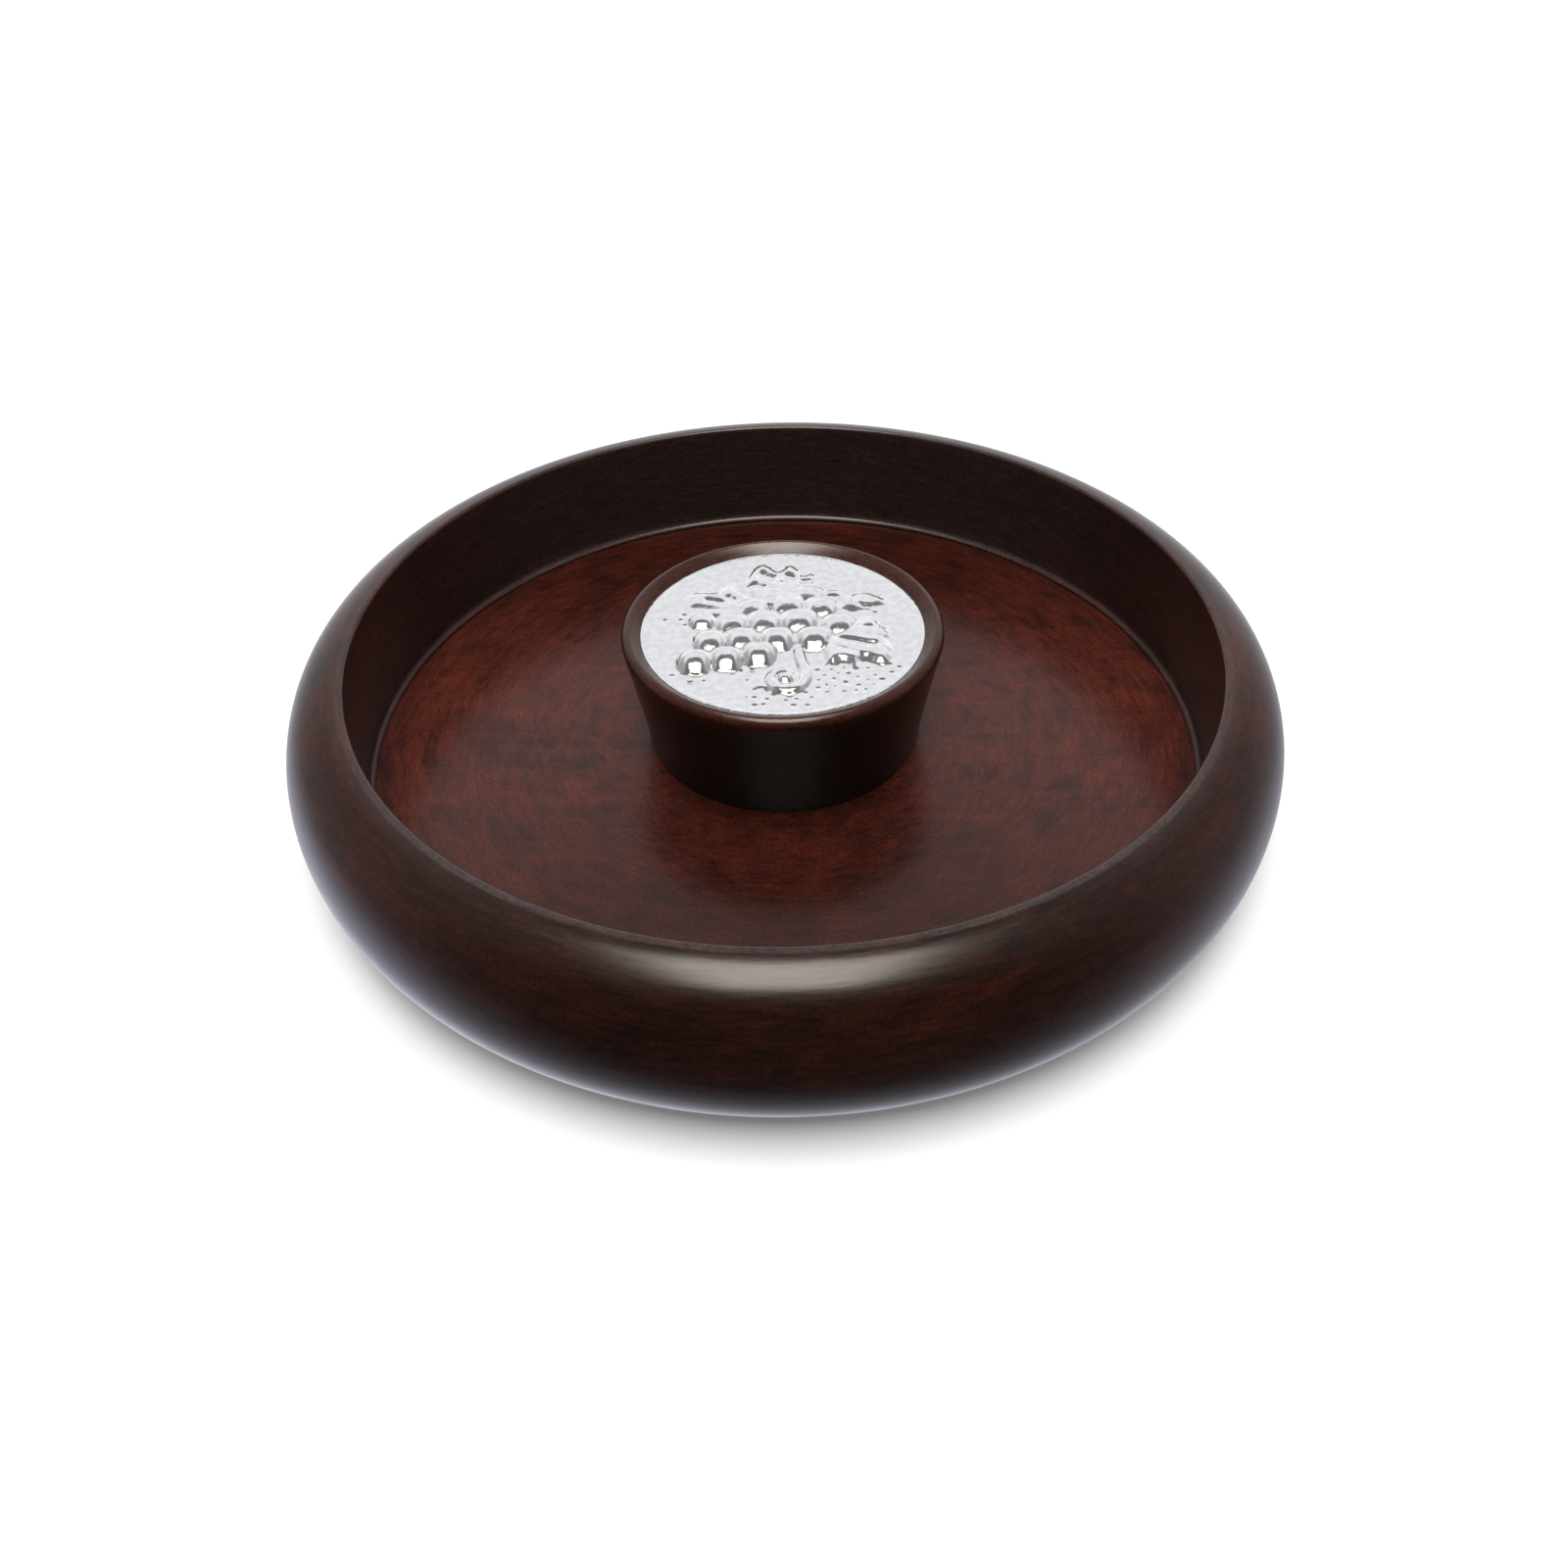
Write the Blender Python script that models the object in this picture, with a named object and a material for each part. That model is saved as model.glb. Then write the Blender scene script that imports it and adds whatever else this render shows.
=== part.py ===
"""Turned wooden offering plate with a raised centre post and a pressed silver medallion.

Metres, +Z up.  The origin is the centre of the underside, on the surface that the plate
stands on.  +Y is the top of the medallion's picture, the side away from its reader.
"""
from math import asin, atan2, cos, degrees, pi, radians, sin, sqrt

import bmesh
import bpy
from mathutils import Vector

# Driving dimensions of the whole plate
PLATE_DIAMETER = 0.3048        # a 12 inch plate
PLATE_HEIGHT = 0.0536          # table to the crest of the rim
WALL_RADIUS = 0.1308           # upright inner wall, at the lip
WALL_UNDERCUT = 0.0018         # how much wider the wall is at the floor
FLOOR_HEIGHT = 0.0130          # table to the top of the floor panel
GAP = 0.0003                   # clearance between pieces that touch

# Rim and wall, turned as one ring
LIP_JOIN = 87                  # degrees, where the lip's small round meets the ellipse
COVE_RADIUS = 0.0019           # hollow at the foot of the wall
COVE_STEP = 0.0004             # edge left under the cove, above the floor panel
UNDERSIDE_EASE = 0.0010        # eased corner of the ring's underside
RIM_POINTS = 16                # steps along the rim's outline
RING_STEPS = 72                # steps round the plate

# Floor panel, let into the ring from below
REBATE_RADIUS = 0.1345
REBATE_EASE = 0.0006

# Centre post
POST_BASE_RADIUS = 0.0437
POST_RIM_RADIUS = 0.0497
POST_RIM_HEIGHT = 0.0527       # table to the crest of the post's rim
POST_RIM_BEAD = 0.0025         # radius of the rounded rim's outer side
BEAD_END = -10                 # degrees, where the bead runs into the flared side
RECESS_RADIUS = 0.0441
RECESS_DEPTH = 0.0058
RECESS_SLOPE = 0.0025          # height of the straight slope from the rim to the medallion
SPIGOT_RADIUS = 0.0160
SPIGOT_LENGTH = 0.0060
POST_STEPS = 48

# Medallion and the board behind it
MEDALLION_RADIUS = 0.0437
MEDALLION_THICKNESS = 0.0012
MEDALLION_EDGE = 0.0012        # width of the raised line round the edge
BACKING_THICKNESS = 0.0015
MEDALLION_RINGS = 19
MEDALLION_STEPS = 72

# Felt pad
FELT_RADIUS = 0.1180
FELT_THICKNESS = 0.0015

# Three screws that hold the post from below
SCREW_COUNT = 3
SCREW_CIRCLE = 0.0280
SCREW_HEAD_RADIUS = 0.0042
SCREW_SHANK_RADIUS = 0.0021
SCREW_LENGTH = 0.0280
SCREW_SINK = 0.0005            # head below the underside
SCREW_SLOT_WIDTH = 0.0011
SCREW_SLOT_DEPTH = 0.0010
SCREW_STEPS = 16

# Worked out from the above
PLATE_RADIUS = PLATE_DIAMETER / 2
WOOD_BASE = FELT_THICKNESS + GAP
RIM_HALF_WIDTH = PLATE_RADIUS - WALL_RADIUS
RIM_HALF_HEIGHT = PLATE_HEIGHT / 2
RIM_MIDDLE = PLATE_HEIGHT - RIM_HALF_HEIGHT
POST_FOOT = FLOOR_HEIGHT + GAP
RECESS_FLOOR = POST_RIM_HEIGHT - RECESS_DEPTH
BACKING_BASE = RECESS_FLOOR + GAP
MEDALLION_BASE = BACKING_BASE + BACKING_THICKNESS + GAP
MEDALLION_FACE = MEDALLION_BASE + MEDALLION_THICKNESS
SCREW_BASE = WOOD_BASE + SCREW_SINK
SCREW_CONE = SCREW_HEAD_RADIUS - SCREW_SHANK_RADIUS


# Raised work of the medallion: x, y, half width, half length and height in millimetres.
# Grapes lie in five rows that narrow towards the top, and one hangs apart at the left.
GRAPE_ROWS = (
    ((-26.5, -18.0), (-17.0, -16.5), (-7.5, -15.0)),
    ((-22.0, -7.5), (-12.5, -6.5), (-1.5, -7.0), (9.5, -7.0)),
    ((-15.5, 2.0), (-6.0, 3.0), (5.0, 3.5), (17.5, 0.5)),
    ((-9.0, 11.0), (2.0, 12.0), (12.0, 11.0)),
    ((-3.5, 18.5), (8.0, 18.5)),
    ((-25.0, 4.5),),
)
GRAPE_SIZE = (4.9, 5.4)
GRAPE_HEIGHTS = (3.0, 2.5, 2.1, 1.8, 1.5, 1.8)    # of each row
LEAVES = (
    (-1.0, 30.0, 11.5, 7.5, 1.1),
    (-21.0, 16.5, 10.0, 7.0, 0.6),
    (27.0, 13.0, 8.5, 5.5, 1.0),
    (24.5, -9.5, 10.5, 10.5, 1.4),
)
TENDRIL_CENTRE = (0.5, -25.5)
TENDRIL_RADIUS = 5.0
TENDRIL_WIDTH = 2.0
TENDRIL_HEIGHT = 0.8


def clear_scene():
    for item in list(bpy.data.objects):
        bpy.data.objects.remove(item, do_unlink=True)


def material(name, colour, roughness, metallic=0.0):
    """A plain Principled material."""
    made = bpy.data.materials.new(name)
    made.use_nodes = True
    shader = made.node_tree.nodes["Principled BSDF"]
    shader.inputs["Base Color"].default_value = (*colour, 1.0)
    shader.inputs["Roughness"].default_value = roughness
    shader.inputs["Metallic"].default_value = metallic
    return made


def arc(centre_r, centre_z, radius_r, radius_z, start, end, steps):
    """Points (r, z) on an ellipse, from one angle to another in degrees."""
    points = []
    for step in range(steps + 1):
        angle = radians(start + (end - start) * step / steps)
        points.append((centre_r + radius_r * cos(angle), centre_z + radius_z * sin(angle)))
    return points


def turned(name, profile, steps, look, location=(0.0, 0.0, 0.0)):
    """Spin a profile of (r, z) points round Z.

    The profile runs down the outer side.  One that starts and ends on the axis closes
    there with a single point, and one that stays off the axis is joined into a ring.
    """
    mesh = bmesh.new()
    columns = []
    for r, z in profile:
        if r == 0.0:
            columns.append([mesh.verts.new((0.0, 0.0, z))] * steps)
            continue
        turn = [2 * pi * step / steps for step in range(steps)]
        columns.append([mesh.verts.new((r * cos(a), r * sin(a), z)) for a in turn])
    pairs = list(zip(columns, columns[1:]))
    if profile[0][0] > 0.0:
        pairs.append((columns[-1], columns[0]))
    for upper, lower in pairs:
        for step in range(steps):
            after = (step + 1) % steps
            corners = (upper[step], lower[step], lower[after], upper[after])
            mesh.faces.new(tuple(dict.fromkeys(corners)))
    return finished(name, mesh, look, location)


def finished(name, mesh, look, location=(0.0, 0.0, 0.0)):
    """Turn a bmesh into a named, smooth-shaded object."""
    data = bpy.data.meshes.new(name)
    mesh.to_mesh(data)
    mesh.free()
    data.shade_smooth()
    data.set_sharp_from_angle(angle=radians(35))
    data.materials.append(look)
    made = bpy.data.objects.new(name, data)
    made.location = location
    bpy.context.scene.collection.objects.link(made)
    return made


def cut(target, cutter):
    """Take a hidden cutter out of an object with an exact Boolean."""
    cutter.hide_render = True
    cutter.display_type = "WIRE"
    step = target.modifiers.new(cutter.name, "BOOLEAN")
    step.operation = "DIFFERENCE"
    step.solver = "EXACT"
    step.object = cutter


def bowl_ring(look):
    """Rounded rim and upright wall: half an ellipse outside, nearly upright inside."""
    join = Vector((RIM_HALF_WIDTH * cos(radians(LIP_JOIN)), RIM_HALF_HEIGHT * sin(radians(LIP_JOIN))))
    outward = Vector((join.x / RIM_HALF_WIDTH**2, join.y / RIM_HALF_HEIGHT**2)).normalized()
    lip = join.x / (1 + outward.x)
    lip_r = WALL_RADIUS + lip
    lip_z = RIM_MIDDLE + join.y - lip * outward.y
    lip_end = degrees(atan2(outward.y, outward.x))

    below = (WOOD_BASE + UNDERSIDE_EASE - RIM_MIDDLE) / RIM_HALF_HEIGHT
    ease_r = WALL_RADIUS + RIM_HALF_WIDTH * sqrt(1 - below * below)
    foot_r = WALL_RADIUS + WALL_UNDERCUT - COVE_RADIUS
    ledge_z = FLOOR_HEIGHT + GAP
    cove_z = ledge_z + COVE_STEP + COVE_RADIUS

    profile = arc(lip_r, lip_z, lip, lip, 180, lip_end, 4)[1:-1]
    profile += arc(WALL_RADIUS, RIM_MIDDLE, RIM_HALF_WIDTH, RIM_HALF_HEIGHT,
                   LIP_JOIN, degrees(asin(below)), RIM_POINTS)
    profile += [
        (ease_r - UNDERSIDE_EASE, WOOD_BASE),
        (REBATE_RADIUS, WOOD_BASE),
        (REBATE_RADIUS, ledge_z),
        (foot_r, ledge_z),
    ]
    profile += arc(foot_r, cove_z, COVE_RADIUS, COVE_RADIUS, -90, 0, 3)
    profile += [(WALL_RADIUS, lip_z)]
    return turned("bowl_ring", profile, RING_STEPS, look)


def floor_panel(look):
    """Flat disc that is let into the ring from below, with a blind hole for the post."""
    edge = REBATE_RADIUS - GAP
    hole = SPIGOT_RADIUS + GAP
    bottom = FLOOR_HEIGHT - SPIGOT_LENGTH - GAP
    profile = [
        (0.0, bottom),
        (hole, bottom),
        (hole, FLOOR_HEIGHT),
        (edge, FLOOR_HEIGHT),
        (edge, WOOD_BASE + REBATE_EASE),
        (edge - REBATE_EASE, WOOD_BASE),
        (0.0, WOOD_BASE),
    ]
    return turned("floor_panel", profile, RING_STEPS, look)


def center_post(look):
    """Flared post with a rounded rim, a flat recess on top and a spigot below."""
    top = POST_RIM_HEIGHT
    bead = POST_RIM_BEAD
    crest = POST_RIM_RADIUS - bead
    profile = [(0.0, RECESS_FLOOR), (RECESS_RADIUS, RECESS_FLOOR)]
    profile += [(RECESS_RADIUS, top - RECESS_SLOPE)]
    profile += arc(crest, top - bead, bead, bead, 90, BEAD_END, 5)
    profile += [
        (POST_BASE_RADIUS, POST_FOOT),
        (SPIGOT_RADIUS, POST_FOOT),
        (SPIGOT_RADIUS, POST_FOOT - SPIGOT_LENGTH),
        (0.0, POST_FOOT - SPIGOT_LENGTH),
    ]
    return turned("center_post", profile, POST_STEPS, look)


def dome(x, y, shape):
    """Height of an oval dome at a point, nothing outside its outline."""
    centre_x, centre_y, half_width, half_length, height = shape
    reach = ((x - centre_x) / half_width) ** 2 + ((y - centre_y) / half_length) ** 2
    return height * sqrt(1 - reach) if reach < 1 else 0.0


def relief(x, y):
    """Height of the raised work above the medallion's flat ground, in millimetres."""
    grapes = [(gx, gy, *GRAPE_SIZE, height) for row, height in zip(GRAPE_ROWS, GRAPE_HEIGHTS) for gx, gy in row]
    height = max(dome(x, y, shape) for shape in grapes + list(LEAVES))
    away = Vector((x - TENDRIL_CENTRE[0], y - TENDRIL_CENTRE[1])).length - TENDRIL_RADIUS
    if abs(away) < TENDRIL_WIDTH:
        height = max(height, TENDRIL_HEIGHT * sqrt(1 - (away / TENDRIL_WIDTH) ** 2))
    return height


def medallion(look):
    """Pressed sheet: a flat ground with raised grapes, leaves and a thin raised edge."""
    flat = MEDALLION_RADIUS - MEDALLION_EDGE
    mesh = bmesh.new()
    rows = [[mesh.verts.new((0.0, 0.0, MEDALLION_FACE + relief(0.0, 0.0) / 1000))]]
    radii = [flat * ring / MEDALLION_RINGS for ring in range(1, MEDALLION_RINGS + 1)]
    turn = [2 * pi * step / MEDALLION_STEPS for step in range(MEDALLION_STEPS)]
    for r in radii:
        row = []
        for a in turn:
            x, y = r * cos(a), r * sin(a)
            row.append(mesh.verts.new((x, y, MEDALLION_FACE + relief(1000 * x, 1000 * y) / 1000)))
        rows.append(row)
    edge = ((MEDALLION_RADIUS - MEDALLION_EDGE / 2, MEDALLION_FACE + MEDALLION_EDGE / 3),
            (MEDALLION_RADIUS, MEDALLION_FACE),
            (MEDALLION_RADIUS, MEDALLION_BASE))
    for r, z in edge:
        rows.append([mesh.verts.new((r * cos(a), r * sin(a), z)) for a in turn])
    for step in range(MEDALLION_STEPS):
        after = (step + 1) % MEDALLION_STEPS
        mesh.faces.new((rows[0][0], rows[1][step], rows[1][after]))
        for inner, outer in zip(rows[1:], rows[2:]):
            mesh.faces.new((inner[step], outer[step], outer[after], inner[after]))
    mesh.faces.new(rows[-1][::-1])
    return finished("medallion", mesh, look)


def disc(name, radius, base, thickness, steps, look):
    """Plain flat disc."""
    top = base + thickness
    profile = [(0.0, top), (radius, top), (radius, base), (0.0, base)]
    return turned(name, profile, steps, look)


def screw_profile(extra):
    """Countersunk head at the bottom and a pointed shank, grown all round by extra."""
    head = SCREW_HEAD_RADIUS + extra
    shank = SCREW_SHANK_RADIUS + extra
    return [
        (0.0, SCREW_LENGTH + extra),
        (shank, SCREW_LENGTH - 2 * SCREW_SHANK_RADIUS + extra),
        (shank, SCREW_CONE),
        (head, 0.0),
        (0.0, 0.0),
    ]


def screw(number, look):
    """Slotted countersunk wood screw, driven upwards."""
    angle = 2 * pi * number / SCREW_COUNT + pi / 2
    place = (SCREW_CIRCLE * cos(angle), SCREW_CIRCLE * sin(angle), SCREW_BASE)
    made = turned(f"post_screw_{number + 1}", screw_profile(0.0), SCREW_STEPS, look, place)
    bar = bmesh.new()
    bmesh.ops.create_cube(bar, size=1.0)
    size = Vector((3 * SCREW_HEAD_RADIUS, SCREW_SLOT_WIDTH, 2 * SCREW_SLOT_DEPTH))
    bmesh.ops.scale(bar, vec=size, verts=bar.verts)
    cut(made, finished(f"slot_cutter_{number + 1}", bar, look, place))
    return place


def screw_hole(number, place, targets, look):
    """Pilot hole and countersink for one screw, through the floor and into the post."""
    profile = screw_profile(GAP)
    mouth = profile[-2][0]
    profile[-1:] = [(mouth, -2 * SCREW_SINK), (0.0, -2 * SCREW_SINK)]
    cutter = turned(f"hole_cutter_{number + 1}", profile, SCREW_STEPS, look, place)
    for target in targets:
        cut(target, cutter)


def main():
    clear_scene()
    wood = material("stained_wood", (0.115, 0.040, 0.024), 0.34)
    silver = material("silver", (0.86, 0.86, 0.85), 0.18, 1.0)
    board = material("backing_board", (0.42, 0.33, 0.22), 0.85)
    felt = material("felt", (0.055, 0.040, 0.030), 0.95)
    steel = material("screw_steel", (0.60, 0.60, 0.58), 0.35, 1.0)

    bowl_ring(wood)
    panel = floor_panel(wood)
    post = center_post(wood)
    medallion(silver)
    disc("medallion_backing", MEDALLION_RADIUS, BACKING_BASE, BACKING_THICKNESS, POST_STEPS, board)
    disc("base_felt", FELT_RADIUS, 0.0, FELT_THICKNESS, RING_STEPS, felt)
    for number in range(SCREW_COUNT):
        place = screw(number, steel)
        screw_hole(number, place, (panel, post), wood)


main()
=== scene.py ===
"""Looks of the turned wooden offering plate with its pressed silver medallion.

Metres, +Z up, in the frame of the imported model: the origin is the middle of the underside, and
+Y is the top of the medallion's picture.
"""
from math import atan2, cos, degrees, pi, radians, sin, sqrt
from random import Random

import bmesh
import bpy
import numpy as np
from mathutils import Matrix, Vector, noise


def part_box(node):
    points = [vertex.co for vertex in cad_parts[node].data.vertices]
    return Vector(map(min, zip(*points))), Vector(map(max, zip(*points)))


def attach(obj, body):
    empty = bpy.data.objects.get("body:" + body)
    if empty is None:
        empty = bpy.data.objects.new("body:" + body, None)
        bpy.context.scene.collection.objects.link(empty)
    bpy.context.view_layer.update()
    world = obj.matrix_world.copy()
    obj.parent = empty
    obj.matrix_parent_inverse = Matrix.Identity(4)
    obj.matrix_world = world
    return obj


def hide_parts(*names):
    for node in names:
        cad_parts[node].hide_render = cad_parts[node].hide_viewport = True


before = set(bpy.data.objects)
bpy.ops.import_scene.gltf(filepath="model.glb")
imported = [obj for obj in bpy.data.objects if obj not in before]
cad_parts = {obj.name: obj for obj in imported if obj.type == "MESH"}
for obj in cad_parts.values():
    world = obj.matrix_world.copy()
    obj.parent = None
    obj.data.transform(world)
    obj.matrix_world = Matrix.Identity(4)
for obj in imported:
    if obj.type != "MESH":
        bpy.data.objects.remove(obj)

MM = 0.001

# Camera: a little above and in front of the plate
CAMERA_PLACE = Vector((0.0, -0.31364, 0.26607))
CAMERA_TARGET = Vector((-0.0005, -0.0162, 0.0))
CAMERA_ROLL = radians(-1.2)
CAMERA_LENS = 28.1
SENSOR = 36.0

# Studio: an overhead softbox and a pale backdrop that is seen in the gloss.  The softbox's
# reach behind, before and beside the plate and its shift to the left are shares of its height
SOFTBOX_HEIGHT = 6.0
SOFTBOX_BACK = 0.12
SOFTBOX_FRONT = 0.57
SOFTBOX_SIDE = 0.26
SOFTBOX_LEFT = 0.015
SOFTBOX_RADIANCE = 14.0
SILVER_RADIANCE = 2.0          # the silver is lit apart, so that its highlights keep soft edges
SOFTBOX_COLOUR = (1.0, 0.94, 0.83)
BACKDROP_TINT = (0.98, 0.99, 1.03, 1.0)
BELOW_TINT = (0.90, 0.92, 1.15, 1.0)
FLOOR_SIZE = 24.0
FLOOR_GLOW_START = 0.8         # the floor's own glow rises from here
FLOOR_GLOW_END = 4.0           # to full white here
FLOOR_GLOW_NEAR = 0.16

# Plate sizes that the frame's boxes don't give
WALL_RADIUS = 0.1308           # upright inner wall, at the lip
WALL_UNDERCUT = 0.0018         # how much wider the wall is at the floor
LIP_JOIN = 87                  # degrees, where the lip's small round meets the rim's ellipse
COVE_RADIUS = 0.0019           # hollow at the foot of the wall
COVE_STEP = 0.0004
UNDERSIDE_EASE = 0.0010
REBATE_RADIUS = 0.1345
GAP = 0.0003
RING_STEPS = 540

# Centre post
POST_BASE_RADIUS = 0.0437
POST_RIM_BEAD = 0.0025
BEAD_END = -10                 # degrees, where the bead runs into the flared side
FLARE_POWER = 1.15             # above 1 the side is slightly hollow
RECESS_CLEARANCE = 0.0001      # between the medallion's edge and the wood
RECESS_DEPTH = 0.0058
RECESS_SLOPE = 0.0025
RECESS_CROWN = 0.00018         # how far the sloped ledge round the medallion swells up
SPIGOT_RADIUS = 0.0160
POST_STEPS = 300

# Screws
SCREW_SHANK_RADIUS = 0.0021
SCREW_PITCH = 0.0016
SCREW_SLOT_WIDTH = 0.0011
SCREW_SLOT_DEPTH = 0.0010
SCREW_STEPS = 40
SCREW_ROWS = 110
SCREW_POINT = 0.12             # radius at the tip, as a share of the shank's
SCREW_TAPER = 5                # how fast the point widens along the screw
SCREW_THREADED = 0.72          # share of the length that has a thread
SCREW_ROOT = 0.72              # radius between the ridges, as a share of the shank's
SCREW_RIDGE = 0.28             # height of a ridge, as a share of the shank's radius
SCREW_RIDGE_HALF = 0.28        # half width of a ridge, as a share of the pitch

# Felt pad
FELT_STEPS = 240
FELT_EASE = 0.4                # rounding of its edges, as a share of its thickness
FELT_LUMP = 0.12               # unevenness of its faces
FELT_LUMPS_PER_METRE = 400

# Stain colours: in the dark, the middle and the light of the figure
RING_STAIN = ((0.012, 0.0042, 0.0030), (0.026, 0.0068, 0.0038), (0.046, 0.0095, 0.0044))
FLOOR_STAIN = ((0.027, 0.0074, 0.0054), (0.053, 0.0120, 0.0078), (0.084, 0.0168, 0.0098))
POST_STAIN = ((0.0050, 0.0040, 0.0036), (0.0080, 0.0052, 0.0045), (0.0140, 0.0066, 0.0052))
# Painted sheen, added to the colour of the upright inner wall
WALL_PAINTED_SHEEN = (0.052, 0.044, 0.046)
POST_RIM_PALE = (0.026, 0.005, 0.002)

# Other colours: the darker and the lighter shade of each
SILVER_SHADES = ((0.86, 0.86, 0.85, 1.0), (0.98, 0.98, 0.975, 1.0))
FELT_SHADES = ((0.030, 0.021, 0.016, 1.0), (0.085, 0.062, 0.047, 1.0))
BOARD_SHADES = ((0.33, 0.25, 0.16, 1.0), (0.50, 0.40, 0.28, 1.0))
STEEL_SHADES = ((0.48, 0.48, 0.46, 1.0), (0.70, 0.69, 0.66, 1.0))
FLOOR_SHADES = ((0.61, 0.64, 0.71, 1.0), (0.63, 0.66, 0.73, 1.0))

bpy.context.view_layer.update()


# ---------------------------------------------------------------- meshes

def arc(centre_r, centre_z, radius_r, radius_z, start, end, steps):
    """Points (r, z) on an ellipse, from one angle to another in degrees."""
    angles = np.radians(np.linspace(start, end, steps + 1))
    return [(centre_r + radius_r * cos(a), centre_z + radius_z * sin(a)) for a in angles]


def subdivided(start, end, steps):
    """Points on a straight line, without its two ends."""
    shares = [step / steps for step in range(1, steps)]
    return [tuple(a + (b - a) * share for a, b in zip(start, end)) for share in shares]


def piece(name, points, faces, look, stands_for, sharp=35):
    """A smooth-shaded object that rides with the plate and stands for a CAD node."""
    data = bpy.data.meshes.new(name)
    data.from_pydata(points, [], faces)
    data.validate()
    data.shade_smooth()
    data.set_sharp_from_angle(angle=radians(sharp))
    data.materials.append(look)
    made = bpy.data.objects.new(name, data)
    bpy.context.scene.collection.objects.link(made)
    if stands_for:
        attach(made, "root")
        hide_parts(stands_for)
    return made


def turned(profile, steps, centre=(0.0, 0.0)):
    """Points and faces of a profile spun round Z.  It runs down the outer side.

    A profile that starts and ends on the axis closes there with a single point, and one that
    stays off the axis is joined into a ring.
    """
    points, columns = [], []
    for r, z in profile:
        if r == 0.0:
            columns.append([len(points)] * steps)
            points.append((centre[0], centre[1], z))
            continue
        columns.append(range(len(points), len(points) + steps))
        turn = [2 * pi * step / steps for step in range(steps)]
        points += [(centre[0] + r * cos(a), centre[1] + r * sin(a), z) for a in turn]
    pairs = list(zip(columns, columns[1:]))
    if profile[0][0] > 0.0:
        pairs.append((columns[-1], columns[0]))
    faces = []
    for upper, lower in pairs:
        for step in range(steps):
            after = (step + 1) % steps
            corners = (upper[step], lower[step], lower[after], upper[after])
            faces.append(tuple(dict.fromkeys(corners)))
    return points, faces


def cut(target, cutter):
    """Take one object out of another and throw the cutter away."""
    step = target.modifiers.new("cut", "BOOLEAN")
    step.operation = "DIFFERENCE"
    step.solver = "EXACT"
    step.object = cutter
    bpy.context.view_layer.update()
    seen = target.evaluated_get(bpy.context.evaluated_depsgraph_get())
    carved = bpy.data.meshes.new_from_object(seen)
    target.modifiers.remove(step)
    target.data = carved
    bpy.data.objects.remove(cutter, do_unlink=True)


# ---------------------------------------------------------------- node materials

def node(tree, kind, inputs, **settings):
    """Add a shader node.  Inputs are sockets to link or values to set, by name or number."""
    made = tree.nodes.new("ShaderNode" + kind)
    for name, value in settings.items():
        setattr(made, name, value)
    for name, value in inputs.items():
        if isinstance(value, bpy.types.NodeSocket):
            tree.links.new(value, made.inputs[name])
        else:
            made.inputs[name].default_value = value
    return made


def math(tree, operation, first, second=0.0):
    return node(tree, "Math", {0: first, 1: second}, operation=operation).outputs[0]


def spread(tree, value, low, high, to_low=0.0, to_high=1.0):
    """Map a range of values smoothly onto another."""
    ends = {"Value": value, "From Min": low, "From Max": high, "To Min": to_low, "To Max": to_high}
    return node(tree, "MapRange", ends, interpolation_type="SMOOTHSTEP").outputs[0]


def mixed(tree, share, first, second, blend="MIX"):
    inputs = {"Fac": share, "Color1": first, "Color2": second}
    return node(tree, "MixRGB", inputs, blend_type=blend).outputs[0]


def stretched_noise(tree, place, scale, detail=4.0, rough=0.55):
    """Noise with its own number of features per metre along X, Y and Z."""
    moved = node(tree, "Mapping", {"Vector": place, "Scale": scale}).outputs[0]
    settings = {"Vector": moved, "Scale": 1.0, "Detail": detail, "Roughness": rough}
    return node(tree, "TexNoise", settings).outputs[0]


def principled(name, values):
    """A new node material, its tree and its shader."""
    look = bpy.data.materials.new(name)
    look.use_nodes = True
    tree = look.node_tree
    shader = tree.nodes["Principled BSDF"]
    for socket, value in values.items():
        shader.inputs[socket].default_value = value
    place = node(tree, "TexCoord", {}).outputs["Object"]
    return look, tree, shader, place


def bumped(tree, shader, height, distance, strength=1.0):
    made = node(tree, "Bump", {"Height": height, "Distance": distance, "Strength": strength})
    tree.links.new(made.outputs[0], shader.inputs["Normal"])


def lathe_space(tree, place):
    """Radius, height, the direction's shares along X and Y, and how near the ±Y sides."""
    parts = node(tree, "SeparateXYZ", {0: place}).outputs
    radius = math(tree, "SQRT", math(tree, "ADD", math(tree, "MULTIPLY", parts[0], parts[0]),
                                     math(tree, "MULTIPLY", parts[1], parts[1])))
    north = math(tree, "DIVIDE", parts[1], radius)
    east = math(tree, "DIVIDE", parts[0], radius)
    return radius, parts[2], east, north, math(tree, "ABSOLUTE", north)


def turning_marks(tree, lathe, per_metre, round_scale, detail=3.0):
    """Marks that run round with the lathe: noise that is long round Z and narrow across."""
    radius, height, east, north, _ = lathe
    where = node(tree, "CombineXYZ", {0: math(tree, "MULTIPLY", radius, per_metre),
                                      1: math(tree, "MULTIPLY", height, per_metre),
                                      2: math(tree, "MULTIPLY", east, round_scale)}).outputs[0]
    settings = {"Vector": where, "W": math(tree, "MULTIPLY", north, round_scale), "Scale": 1.0,
                "Detail": detail, "Roughness": 0.6}
    return node(tree, "TexNoise", settings, noise_dimensions="4D").outputs[0]


def grey(tree, value):
    return node(tree, "CombineColor", {0: value, 1: value, 2: value}).outputs[0]


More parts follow.
